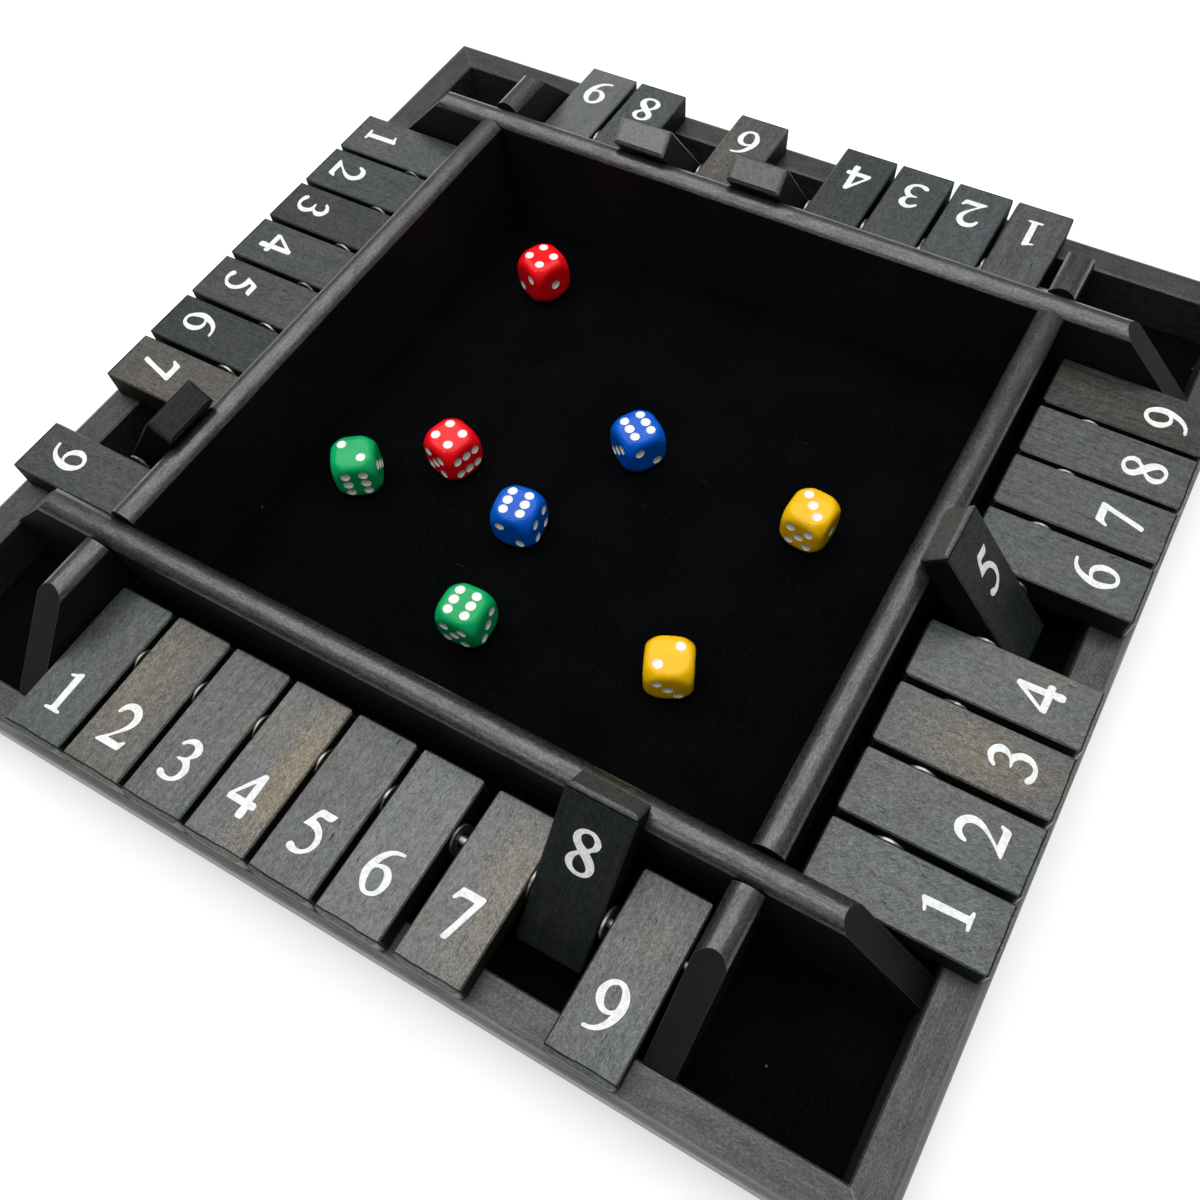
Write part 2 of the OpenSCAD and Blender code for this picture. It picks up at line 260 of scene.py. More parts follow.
# Base panel: thin plywood, brushed black underneath. The brush has left faint stripes, and the
# paint is rubbed where the board slides on a table.
panel_black = (0.022, 0.022, 0.023, 1)
panel_worn = (0.075, 0.066, 0.055, 1)
panel, tree, shader = new_material("panel_paint", Specular_IOR_Level=0.4)
place = put(tree, "ShaderNodeTexCoord").outputs["Object"]
stripes = noise(tree, stretch(tree, place, (25, 900, 200)), 1.0, 4)
worn = ramp(tree, noise(tree, place, 22, 6, 2.0), 0.58, 0.72)
scuffed = sum_up(tree, "MULTIPLY", worn, ramp(tree, stripes, 0.42, 0.62), clamp=True)
tree.links.new(blend(tree, scuffed, panel_black, panel_worn), shader.inputs["Base Color"])
tree.links.new(ramp(tree, stripes, 0.3, 0.7, 0.5, 0.7), shader.inputs["Roughness"])
bump = put(tree, "ShaderNodeBump", {"Height": stripes, "Strength": 0.5, "Distance": 0.0001})
tree.links.new(bump.outputs[0], shader.inputs["Normal"])
dress(panel, "base_panel")

# Felt: black craft felt, glued down in nine pieces. It swallows nearly all light; short fibres
# stand up a little, and it has caught lint and a few scratches in the nap.
felt_black = (0.0009, 0.0012, 0.0015, 1)
felt_nap = (0.0018, 0.0021, 0.0025, 1)
felt_fluff = (0.004, 0.0042, 0.0045, 1)
lint_grey = (0.16, 0.16, 0.16, 1)
felt, tree, shader = new_material("black_felt", Specular_IOR_Level=0.02, Roughness=0.95)
place = put(tree, "ShaderNodeTexCoord").outputs["Object"]
fluff = noise(tree, place, 1500, 5, 1.0, 0.6)
nap = noise(tree, place, 45, 4, 4.0)
lint = put(tree, "ShaderNodeTexVoronoi", {"Vector": place, "Scale": 120, "Randomness": 1.0})
rare = ramp(tree, put(tree, "ShaderNodeSeparateColor", {0: lint.outputs["Color"]}).outputs[0],
            0.90, 0.92)
speck = sum_up(tree, "MULTIPLY", ramp(tree, lint.outputs["Distance"], 0.05, 0.02), rare)
hairs = noise(tree, stretch(tree, place, (60, 1500, 1500)), 1.0, 2, 8.0)
speck = sum_up(tree, "MULTIPLY_ADD", ramp(tree, hairs, 0.74, 0.80), 0.12, speck, clamp=True)
brushed = blend(tree, ramp(tree, nap, 0.40, 0.65), felt_black, felt_nap)
brushed = blend(tree, ramp(tree, fluff, 0.45, 0.75), brushed, felt_fluff)
tree.links.new(blend(tree, speck, brushed, lint_grey), shader.inputs["Base Color"])
bump = put(tree, "ShaderNodeBump", {"Height": fluff, "Strength": 0.9, "Distance": 0.0004})
tree.links.new(bump.outputs[0], shader.inputs["Normal"])
dress(felt, "felt_tray", "felt_wells")

# Bars: four hardwood bars on edge, crowned on top and sloped at the ends, halved into each other at
# the crossings. They have the rim's stain and a thinner, more worn lacquer, full of dents. Their black
# is painted darker than the rim's as painted shade on their walls, and their crown is painted lighter
# with grey grains, partly as a painted highlight.
# The bars' black is darker than the rim's: painted shade for their walls.
bar_black_with_painted_shade = (0.004, 0.0042, 0.0044, 1)
bar_grain = (0.032, 0.030, 0.028, 1)
for along, bars in ((0, ("bar_front", "bar_back")), (90, ("bar_right", "bar_left"))):
    dress(lacquered("bar_lacquer_%d" % along, along, bar_black_with_painted_shade, bar_grain, wear=0.0002, patchy=0.35,
                    ripple=1.5, dents=0.8, grit=0.45, rough=0.30, shine=0.20, coat=1.0), *bars)

# Rods and washers: drawn steel rods, held in the bars, and stamped steel washers that hang on
# them between the flaps. Satin, with fine draw lines and a little grime.
steel_clean = (0.34, 0.335, 0.32, 1)
steel_grimy = (0.09, 0.088, 0.082, 1)
steel, tree, shader = new_material("satin_steel", Metallic=1.0)
place = put(tree, "ShaderNodeTexCoord").outputs["Object"]
lines = noise(tree, stretch(tree, place, (300, 300, 4200)), 1.0, 3)
grime = ramp(tree, noise(tree, place, 260, 4, 5.0), 0.45, 0.65)
tree.links.new(blend(tree, grime, steel_clean, steel_grimy), shader.inputs["Base Color"])
tree.links.new(sum_up(tree, "MULTIPLY_ADD", grime, 0.20, ramp(tree, lines, 0.3, 0.7, 0.34, 0.50)),
               shader.inputs["Roughness"])
bump = put(tree, "ShaderNodeBump", {"Height": lines, "Strength": 0.4, "Distance": 0.00002})
tree.links.new(bump.outputs[0], shader.inputs["Normal"])
dress(steel, "pivot_rods", "washers")

# Flaps: thirty-six hardwood tiles, dipped in a slate-grey stain and left satin, nine to a row.
# Each piece of wood took the stain its own way: some stayed cool, some went brown in patches.
FLAP_ROWS = ("front", "right", "back", "left")
# From the middle of the rod to a flap's outer end, inner end, side and face, in millimetres.
flap_reach, flap_tail, flap_side, flap_face = 31.6, 14.8, 9.25, 4.0
slate_cool = (0.022, 0.033, 0.034, 1)
slate_warm = (0.048, 0.042, 0.034, 1)
ochre = (0.110, 0.080, 0.036, 1)
end_dark, end_pale = (0.030, 0.029, 0.027, 1), (0.095, 0.090, 0.082, 1)
fleck_grey = (0.30, 0.30, 0.28, 1)
rubbed_slate = (0.14, 0.135, 0.125, 1)

stained, has, out = new_group(
    "stained_wood",
    [("Place", "Vector", None), ("Seed", "Float", 0.0), ("Tone", "Float", 1.0),
     ("Warmth", "Float", 0.3), ("Streaks", "Float", 0.5), ("Sanding", "Float", 0.0),
     ("Ochre", "Float", 0.0), ("Patch Centre", "Vector", None), ("Patch Size", "Vector", None)],
    [("Color", "Color", None), ("Roughness", "Float", None), ("Gloss", "Float", None),
     ("Height", "Float", None)])
place, seed = has["Place"], has["Seed"]
fibre = noise(stained, stretch(stained, place, (1.1, 0.055, 1.1)), 1.0, 4, seed)
clouds = noise(stained, stretch(stained, place, (0.14, 0.07, 0.14)), 1.0, 3, seed)
grain = noise(stained, stretch(stained, place, (4.6, 1.7, 4.6)), 1.0, 2, seed, 0.6)
mottle = noise(stained, stretch(stained, place, (0.75, 0.45, 0.75)), 1.0, 4, seed, 0.65)
threads = noise(stained, stretch(stained, place, (3.0, 0.16, 3.0)), 1.0, 2, seed)
flecks = ramp(stained, noise(stained, stretch(stained, place, (5.5, 4.0, 5.5)), 1.0, 1, 77.0),
              0.70, 0.77)
cracks = ramp(stained, noise(stained, stretch(stained, place, (3.2, 0.33, 3.2)), 1.0, 2, seed),
              0.345, 0.295)
sanded = put(stained, "ShaderNodeMapping", {"Vector": place, "Rotation": (0, 0, math.radians(52))})
sanded = noise(stained, stretch(stained, sanded.outputs[0], (0.22, 4.5, 1.0)), 1.0, 2, seed)

# Colour of the stain: cool or warm in clouds, with one brown patch that follows the fibres.
warm = sum_up(stained, "ADD", ramp(stained, mottle, 0.3, 0.7, 0.28, -0.28),
              ramp(stained, clouds, 0.3, 0.7, -0.28, 0.28))
warm = sum_up(stained, "ADD", has["Warmth"], warm, clamp=True)
colour = blend(stained, warm, slate_cool, slate_warm)
away = put(stained, "ShaderNodeVectorMath", {0: place, 1: has["Patch Centre"]}, operation="SUBTRACT")
away = put(stained, "ShaderNodeVectorMath", {0: away.outputs[0], 1: has["Patch Size"]},
           operation="DIVIDE")
away = put(stained, "ShaderNodeVectorMath", {0: away.outputs[0]}, operation="LENGTH").outputs["Value"]
away = sum_up(stained, "ADD", away, ramp(stained, fibre, 0.3, 0.7, -0.4, 0.4))
away = sum_up(stained, "ADD", away, ramp(stained, grain, 0.3, 0.7, 0.5, -0.5))
spot = sum_up(stained, "MULTIPLY", ramp(stained, away, 1.3, 0.2), has["Ochre"], clamp=True)
colour = blend(stained, spot, colour, ochre)

# Light and dark in it: streaks, fine grain, short cracks and sanding marks.
shade = sum_up(stained, "MULTIPLY_ADD", ramp(stained, fibre, 0.34, 0.64, -0.45, 0.45),
               has["Streaks"], 1.0)
shade = sum_up(stained, "MULTIPLY", shade, ramp(stained, grain, 0.34, 0.66, 0.65, 1.35))
shade = sum_up(stained, "MULTIPLY", shade, ramp(stained, threads, 0.34, 0.66, 0.86, 1.14))
shade = sum_up(stained, "MULTIPLY", shade, ramp(stained, mottle, 0.32, 0.68, 0.78, 1.22))
shade = sum_up(stained, "MULTIPLY", shade, sum_up(
    stained, "MULTIPLY_ADD", ramp(stained, sanded, 0.35, 0.65, -0.6, 0.6), has["Sanding"], 1.0))
shade = sum_up(stained, "MULTIPLY", shade, sum_up(stained, "MULTIPLY_ADD", cracks, -0.75, 1.0))
sides = put(stained, "ShaderNodeSeparateXYZ", {0: place})
across = sum_up(stained, "ABSOLUTE", sides.outputs[0], 0.0)
# Painted shade: the flap's sides, which face the gaps between flaps, are darkened to a tenth. Its
# underside and the lowest part of its sides, up to 0.7 mm, are darkened to 0.45. Torn wood and a line
# at the outer end are multiplied into the same mask below.
painted_shade_and_marks = ramp(stained, across, flap_side - 0.17, flap_side - 0.02, 1.0, 0.10)
under = ramp(stained, sides.outputs[2], 0.1 - flap_face, 0.7 - flap_face, 0.45, 1.0)
painted_shade_and_marks = sum_up(stained, "MULTIPLY", painted_shade_and_marks, under)

# The inner end is a little torn. Along the outer end, where the face meets its chamfer, a dark line is
# painted, and the chamfer below it is painted lighter.
torn = sum_up(stained, "ADD", sides.outputs[1], ramp(stained, grain, 0.3, 0.7, -0.7, 0.7))
painted_shade_and_marks = sum_up(stained, "MULTIPLY", painted_shade_and_marks, ramp(stained, torn, flap_tail - 0.6, flap_tail, 1.0, 0.4))
chamfer_line = sum_up(stained, "ADD", sides.outputs[1],
                 ramp(stained, clouds, 0.3, 0.7, flap_reach - 1.35, flap_reach - 1.0))
chamfer_line = sum_up(stained, "ABSOLUTE", chamfer_line, 0.0)
painted_shade_and_marks = sum_up(stained, "MULTIPLY", painted_shade_and_marks, ramp(stained, chamfer_line, 0.14, 0.24, 0.10, 1.0))
nose = ramp(stained, sides.outputs[1], 0.9 - flap_reach, 0.75 - flap_reach, 1.0, 2.2)
shade = sum_up(stained, "MULTIPLY", sum_up(stained, "MULTIPLY", shade, nose), painted_shade_and_marks)
shade = sum_up(stained, "MULTIPLY", shade, has["Tone"])
end = ramp(stained, sides.outputs[1], 0.25 - flap_reach, 0.05 - flap_reach)
rings = noise(stained, stretch(stained, place, (1.6, 1.0, 3.4)), 1.0, 4, seed, 0.7)
bare = blend(stained, ramp(stained, rings, 0.35, 0.65), end_dark, end_pale)
colour = blend(stained, end, blend(stained, 1.0, colour, shade, "MULTIPLY"),
               blend(stained, 1.0, bare, has["Tone"], "MULTIPLY"))
bright = sum_up(stained, "MULTIPLY", sum_up(stained, "MULTIPLY", flecks, painted_shade_and_marks), 0.5)
stained.links.new(blend(stained, bright, colour, fleck_grey), out.inputs["Color"])
gloss = sum_up(stained, "MULTIPLY_ADD", end, 0.25, ramp(stained, grain, 0.3, 0.7, 0.50, 0.40))
gloss = sum_up(stained, "MULTIPLY_ADD", sum_up(stained, "SUBTRACT", 1.0, painted_shade_and_marks), 0.35, gloss)
stained.links.new(sum_up(stained, "MULTIPLY_ADD", spot, 0.05, gloss), out.inputs["Roughness"])
film = sum_up(stained, "MULTIPLY", ramp(stained, grain, 0.32, 0.70, 0.45, 0.95),
              ramp(stained, mottle, 0.34, 0.64, 0.80, 1.15))
film = sum_up(stained, "MULTIPLY", film, sum_up(stained, "MULTIPLY", painted_shade_and_marks, has["Tone"]))
stained.links.new(sum_up(stained, "MULTIPLY", film, sum_up(stained, "SUBTRACT", 1.0, cracks),
                         clamp=True), out.inputs["Gloss"])
rise = sum_up(stained, "MULTIPLY_ADD", fibre, 0.6, sum_up(stained, "MULTIPLY", grain, 0.4))
rise = sum_up(stained, "MULTIPLY_ADD", sanded, has["Sanding"], rise)
stained.links.new(sum_up(stained, "MULTIPLY_ADD", cracks, -0.6, rise), out.inputs["Height"])

# How each tile took the stain: tone, warmth, streaks and sanding marks, then for a brown patch its
# strength, centre across and along, and size across and along, in millimetres from the rod. Front 8
# stands raised, and its low tone is partly painted shade on the face it turns up.
plain = (1, 0.35, 0.4, 0, 0, 0, 0, 1, 1)
took = {
    "front": {1: (0.9, 0.1, 0.3, 0.5, 0, 0, 0, 1, 1), 2: (1, 0.75, 0.5, 0, 0.6, -4, -6, 8, 20),
              3: (1, 0.5, 0.9, 0, 0, 0, 0, 1, 1), 4: (1.1, 0.6, 0.5, 0, 1.0, 5.5, -6, 5, 22),
              5: (1, 0.4, 0.5, 0.3, 0, 0, 0, 1, 1), 6: (1.2, 0.4, 0.4, 0, 0, 0, 0, 1, 1),
              7: (1.15, 0.55, 0.4, 0, 0.5, 5, -4, 6, 20), 8: (0.6, 0.2, 0.4, 0, 0, 0, 0, 1, 1),
              9: (1.0, 0.35, 0.7, 0, 0.15, 0, 0, 9, 9)},
    "right": {1: (1, 0.15, 0.3, 0.8, 0, 0, 0, 1, 1), 2: (1, 0.2, 0.3, 0.3, 0, 0, 0, 1, 1),
              3: (1, 0.45, 0.4, 0, 0.7, -1, -10, 7, 17), 4: (1.1, 0.25, 0.5, 0, 0.2, 7, -16, 4, 9),
              5: (0.8, 0.3, 0.5, 0, 0, 0, 0, 1, 1),
              6: (1, 0.25, 0.4, 0, 0, 0, 0, 1, 1), 7: (1, 0.5, 0.9, 0, 0, 0, 0, 1, 1),
              8: (1, 0.5, 1.0, 0, 0, 0, 0, 1, 1), 9: (0.6, 0.55, 1.0, 0, 0.3, -3, -10, 4, 20)},
    "back": {1: (1, 0.5, 0.7, 0, 0, 0, 0, 1, 1), 2: (1, 0.0, 0.5, 0, 0, 0, 0, 1, 1),
             3: (0.85, 0.1, 0.3, 0, 0, 0, 0, 1, 1), 4: (0.68, 0.15, 0.3, 0, 0, 0, 0, 1, 1),
             6: (1, 0.5, 0.5, 0, 0.4, 5, -3, 2.5, 25), 7: (1.4, 0.4, 0.4, 0, 0, 0, 0, 1, 1),
             8: (1, 0.15, 0.3, 0, 0, 0, 0, 1, 1), 9: (1.7, 0.4, 0.3, 0, 0, 0, 0, 1, 1)},
    "left": {1: (1, 0.3, 0.3, 0, 0, 0, 0, 1, 1), 2: (0.75, 0.05, 0.6, 0, 0, 0, 0, 1, 1),
             3: (0.55, 0.4, 0.4, 0, 0, 0, 0, 1, 1), 4: (0.7, 0.3, 0.8, 0, 0, 0, 0, 1, 1),
             5: (0.7, 0.45, 0.4, 0, 0, 0, 0, 1, 1), 6: (0.5, 0.1, 0.2, 0, 0, 0, 0, 1, 1),
             7: (0.8, 0.9, 0.5, 0, 0.3, 4, -10, 9, 22), 8: (0.25, 0.3, 0.4, 0, 0, 0, 0, 1, 1),
             9: (0.7, 0.4, 0.5, 0.6, 0, 0, 0, 1, 1)},
}
hinges = {j["child"]: j for j in frame["joints"] if j["name"].startswith("hinge_")}
flap_pose = {}
for row, side in enumerate(FLAP_ROWS):
    for number in range(1, 10):
        name = "flap_%s_%d" % (side, number)
        low, high = hinges[name]["range_deg"]
        turn = math.radians(low) if low < 0 else 0.0
        rod = Vector(hinges[name]["pos_m"])
        flap_pose[name] = (Matrix.Translation(rod) @ Matrix.Rotation(math.radians(90 * row), 4, "Z")
                           @ Matrix.Rotation(turn, 4, "X"))
        tone, warmth, streaks, sanding, brown, x, y, wide, long = took[side].get(number, plain)
        material, tree, shader = new_material("wood_" + name, Specular_IOR_Level=0.10 * tone,
                                              Coat_Roughness=0.42, Coat_IOR=1.78)
        place = put(tree, "ShaderNodeMapping",
                    {"Vector": put(tree, "ShaderNodeTexCoord").outputs["Object"], "Location": rod,
                     "Rotation": (turn, 0, math.radians(90 * row)), "Scale": (0.001, 0.001, 0.001)},
                    vector_type="TEXTURE").outputs[0]
        wood = use_group(tree, stained, {
            "Place": place, "Seed": 3.7 * number + 41.0 * row, "Tone": tone, "Warmth": warmth,
            "Streaks": streaks, "Sanding": sanding, "Ochre": brown, "Patch Centre": (x, y, flap_face),
            "Patch Size": (wide, long, 30)})
        edges = use_group(tree, rubbed, {"Reach": 0.0004, "Round": 0.00015, "Patchy": 0.8})
        rubs = sum_up(tree, "MULTIPLY", edges["Mask"], ramp(tree, wood["Gloss"], 0.05, 0.5, 0, 0.4))
        bare = blend(tree, rubs, wood["Color"], rubbed_slate)
        tree.links.new(bare, shader.inputs["Base Color"])
        tree.links.new(wood["Roughness"], shader.inputs["Roughness"])
        tree.links.new(wood["Gloss"], shader.inputs["Coat Weight"])
        bump = put(tree, "ShaderNodeBump", {"Height": wood["Height"], "Normal": edges["Normal"],
                                            "Strength": 0.7, "Distance": 0.00012})
        tree.links.new(bump.outputs[0], shader.inputs["Normal"])
        dress(material, name)

# Numbers: screen-printed in thick white paint on both faces of each flap, so that a number reads
# from outside the board with its flap down or up. Each outline is a cut stencil's, in millimetres
# from the middle of the flap and from its outer end.
paint_thick = 0.12                                 # mm
long_edge = 3.2                                    # mm, an edge this long stays straight
sharp_corner = math.radians(44)
outlines = {
    1: [[(-2.57, 18.77), (-2.0, 18.53), (-1.0, 18.83), (-0.93, 18.5), (-0.67, 9.67), (-0.83, 9.4),
         (-2.17, 9.07), (-2.4, 8.67), (-2.07, 8.3), (2.17, 8.37), (2.67, 8.77), (2.33, 9.13),
         (1.33, 9.4), (1.23, 9.83), (1.1, 20.0), (0.83, 20.5), (0.33, 20.43), (-1.0, 19.67),
         (-2.4, 19.07)]],
    2: [[(-3.93, 16.6), (-4.33, 17.0), (-4.0, 18.33), (-3.17, 19.67), (-2.0, 20.4), (-0.83, 20.67),
         (0.67, 20.33), (2.0, 19.17), (2.73, 17.67), (2.73, 16.17), (2.17, 14.67), (1.17, 13.27),
         (0, 12.0), (-1.17, 10.67), (-1.67, 10.07), (1.67, 10.0), (2.5, 10.27), (3.0, 10.83),
         (3.5, 10.93), (3.73, 10.67), (3.5, 9.83), (3.17, 8.67), (2.67, 8.1), (-4.0, 8.1),
         (-4.4, 8.4), (-4.0, 8.9), (-2.67, 10.17), (-1.33, 11.6), (-0.17, 13.17), (0.67, 14.83),
         (0.93, 16.33), (0.67, 17.5), (0, 18.27), (-1.0, 18.57), (-2.0, 18.43), (-2.9, 17.73),
         (-3.43, 16.93)]],
    3: [[(-3.33, 17.43), (-3.83, 17.83), (-3.0, 19.0), (-2.0, 19.83), (-0.67, 20.33), (0.67, 20.07),
         (1.83, 19.33), (2.5, 18.17), (2.5, 17.0), (1.83, 15.83), (1.0, 15.17), (1.83, 14.17),
         (2.57, 13.0), (2.77, 11.67), (2.43, 10.33), (1.67, 9.17), (0.5, 8.33), (-1.0, 7.83),
         (-2.33, 7.83), (-3.83, 8.27), (-4.5, 9.0), (-4.43, 9.67), (-3.83, 10.07), (-3.0, 9.83),
         (-2.17, 9.27), (-1.17, 9.07), (-0.17, 9.23), (0.6, 10.0), (0.9, 11.17), (0.83, 12.33),
         (0.17, 13.33), (-0.83, 13.83), (-2.0, 13.9), (-2.4, 14.17), (-2.0, 14.47), (-1.0, 14.73),
         (-0.17, 15.1), (0.5, 16.0), (0.6, 17.0), (0.33, 18.0), (-0.33, 18.57), (-1.33, 18.6),
         (-2.33, 18.17), (-2.93, 17.6)]],
    4: [[(0.33, 21.07), (0.83, 21.33), (1.5, 21.27), (1.83, 20.83), (2.0, 14.0), (3.33, 13.9),
         (3.73, 13.5), (3.73, 12.57), (3.4, 12.1), (2.27, 12.07), (2.33, 9.5), (2.0, 9.0),
         (0.67, 9.0), (0.33, 9.4), (0.33, 12.0), (-4.33, 12.07), (-4.67, 12.33), (-4.6, 13.5),
         (-4.33, 13.9)],
        [(-3.27, 13.9), (0.07, 13.9), (0, 18.5)]],
    5: [[(-1.33, 20.93), (3.07, 20.93), (2.5, 19.5), (2.0, 19.07), (-0.83, 19.0), (-1.17, 18.73),
         (-1.6, 17.83), (-0.5, 17.6), (0.67, 17.0), (1.83, 16.0), (2.6, 14.67), (2.93, 13.33),
         (2.73, 12.0), (2.17, 10.67), (1.17, 9.67), (0, 8.9), (-1.17, 8.57), (-2.5, 8.6),
         (-3.67, 9.0), (-4.1, 9.67), (-3.83, 10.43), (-3.17, 10.77), (-2.5, 10.57), (-1.67, 10.07),
         (-0.67, 10.0), (0.33, 10.33), (1.07, 11.17), (1.4, 12.33), (1.33, 13.5), (0.83, 14.6),
         (-0.17, 15.4), (-1.33, 15.73), (-2.5, 15.8), (-3.73, 15.8), (-2.93, 17.73),
         (-2.0, 20.0)]],
    6: [[(3.0, 20.73), (2.5, 20.53), (1.33, 20.33), (0.33, 19.83), (-0.67, 18.83), (-1.33, 17.67),
         (-1.83, 16.27), (-0.67, 16.73), (0.67, 16.83), (1.83, 16.4), (2.83, 15.33), (3.4, 13.83),
         (3.33, 12.33), (2.83, 10.83), (2.0, 9.67), (0.83, 9.0), (-0.33, 8.8), (-1.67, 9.07),
         (-2.83, 10.17), (-3.67, 11.5), (-4.27, 13.17), (-4.17, 15.0), (-3.67, 16.67),
         (-2.83, 18.33), (-1.67, 19.83), (-0.33, 20.73), (1.0, 21.17), (2.17, 21.33),
         (3.0, 21.27)],
        [(-2.17, 14.83), (-1.67, 15.4), (-0.67, 15.67), (0.33, 15.5), (1.17, 14.5), (1.57, 13.0),
         (1.57, 11.67), (1.17, 10.5), (0.33, 9.93), (-0.5, 9.83), (-1.33, 10.4), (-1.9, 11.67),
         (-2.23, 13.17)]],
    7: [[(-3.33, 21.4), (-2.83, 21.6), (2.83, 21.6), (3.23, 21.27), (3.07, 20.33), (2.33, 18.0),
         (1.5, 15.17), (0.67, 12.33), (-0.17, 9.67), (-0.5, 9.23), (-1.5, 9.17), (-1.83, 9.6),
         (-1.17, 11.67), (-0.33, 14.33), (0.4, 17.0), (1.0, 19.17), (1.0, 19.5), (-1.33, 19.5),
         (-2.67, 19.27), (-3.5, 18.4), (-4.0, 18.07), (-4.43, 18.4), (-4.17, 19.17),
         (-3.67, 20.5)]],
    8: [[(-0.5, 19.5), (0.83, 19.27), (2.17, 18.33), (2.93, 17.0), (2.5, 15.5), (1.33, 14.5),
         (0.83, 13.83), (1.83, 12.93), (2.83, 11.5), (3.17, 10.0), (2.73, 8.5), (1.5, 7.4),
         (-0.17, 7.0), (-2.0, 7.33), (-3.5, 8.33), (-4.23, 10.0), (-3.67, 11.67), (-2.67, 12.67),
         (-2.0, 13.17), (-2.83, 14.07), (-3.83, 15.33), (-4.1, 16.83), (-3.5, 18.17),
         (-2.17, 19.17)],
        [(-1.17, 18.4), (-0.17, 18.5), (0.83, 17.83), (1.17, 16.5), (0.83, 15.5), (0, 14.67),
         (-1.0, 15.17), (-2.0, 16.17), (-2.23, 17.17), (-1.83, 18.0)],
        [(-1.33, 12.5), (-0.5, 11.9), (0.5, 10.83), (1.17, 9.83), (1.27, 9.0), (0.67, 8.17),
         (-0.5, 8.0), (-1.67, 8.5), (-2.33, 9.67), (-2.27, 11.0), (-1.83, 12.0)]],
    9: [[(-0.5, 20.93), (0.67, 20.67), (2.0, 19.6), (2.9, 18.17), (3.33, 16.5), (3.27, 14.83),
         (2.83, 13.17), (2.0, 11.5), (0.83, 10.0), (-0.5, 9.0), (-2.0, 8.43), (-3.67, 8.27),
         (-4.0, 8.67), (-3.67, 9.07), (-2.33, 9.33), (-1.17, 9.93), (-0.17, 11.0), (0.5, 12.33),
         (0.83, 13.4), (-0.17, 13.0), (-1.5, 13.0), (-2.83, 13.67), (-4.0, 15.0), (-4.5, 16.67),
         (-4.17, 18.33), (-3.17, 19.83), (-1.83, 20.73)],
        [(-0.83, 19.83), (0.17, 19.4), (0.83, 18.17), (1.17, 16.5), (1.1, 14.83), (0.33, 14.17),
         (-0.67, 14.07), (-1.67, 14.67), (-2.33, 16.0), (-2.6, 17.5), (-2.17, 19.0)]],
}
# Middle of each print on its flap: across from the middle, and along from the outer end.
printed = {
    "front": {1: (0, 14.3), 2: (-0.3, 14.2), 3: (-0.8, 14.1), 4: (-0.45, 15.1), 5: (-0.5, 14.8),
              6: (-0.45, 15.05), 7: (-0.6, 15.4), 8: (0, 14.6), 9: (-0.7, 14.6)},
    "right": {1: (0.5, 14.3), 2: (1.1, 14.2), 3: (0.8, 14.1), 4: (0.6, 14.7), 5: (0, 14.6),
              6: (0.6, 14.0), 7: (0, 13.6), 8: (-0.5, 13.25), 9: (-0.4, 13.1)},
    "back": {1: (0.9, 13.6), 2: (1.2, 13.6), 3: (0.4, 13.6), 4: (0.3, 14.1), 5: (0, 14.6),
             6: (0.8, 13.8), 7: (0, 14.6), 8: (0.4, 13.2), 9: (0.7, 12.8)},
    "left": {1: (-0.2, 12.3), 2: (-0.5, 12.3), 3: (-0.9, 12.2), 4: (-0.5, 13.1), 5: (-0.9, 13.1),
             6: (-1.1, 13.4), 7: (-1.1, 13.7), 8: (0, 14.6), 9: (-0.5, 13.7)},
}
printed_under = {"flap_front_8": (0, 15.05), "flap_right_5": (0.9, 15.9)}

paint_white, paint_thin = (0.78, 0.79, 0.79, 1), (0.62, 0.63, 0.64, 1)
paint_gone = (0.26, 0.28, 0.28, 1)
white_paint, tree, shader = new_material("white_paint", Specular_IOR_Level=0.4)
place = put(tree, "ShaderNodeTexCoord").outputs["Object"]
chalky = noise(tree, place, 900, 4, 1.0)
rubbed_off = ramp(tree, noise(tree, place, 2600, 2, 3.0), 0.36, 0.26)
chalk = blend(tree, ramp(tree, chalky, 0.35, 0.7), paint_white, paint_thin)
tree.links.new(blend(tree, rubbed_off, chalk, paint_gone), shader.inputs["Base Color"])
tree.links.new(ramp(tree, chalky, 0.3, 0.7, 0.45, 0.6), shader.inputs["Roughness"])
bump = put(tree, "ShaderNodeBump", {"Height": chalky, "Strength": 0.4, "Distance": 0.00004})
tree.links.new(bump.outputs[0], shader.inputs["Normal"])


def shape_handles(spline, points):
    """Straight at long edges and sharp corners of the stencil, and smooth everywhere else."""
    count = len(points)
    for i, knot in enumerate(spline.bezier_points):
        back = Vector(points[i]) - Vector(points[i - 1])
        ahead = Vector(points[(i + 1) % count]) - Vector(points[i])
        sharp = back.angle(ahead) > sharp_corner
        knot.co = (*points[i], 0)
        knot.handle_left_type = "VECTOR" if sharp or back.length > long_edge else "AUTO"
        knot.handle_right_type = "VECTOR" if sharp or ahead.length > long_edge else "AUTO"


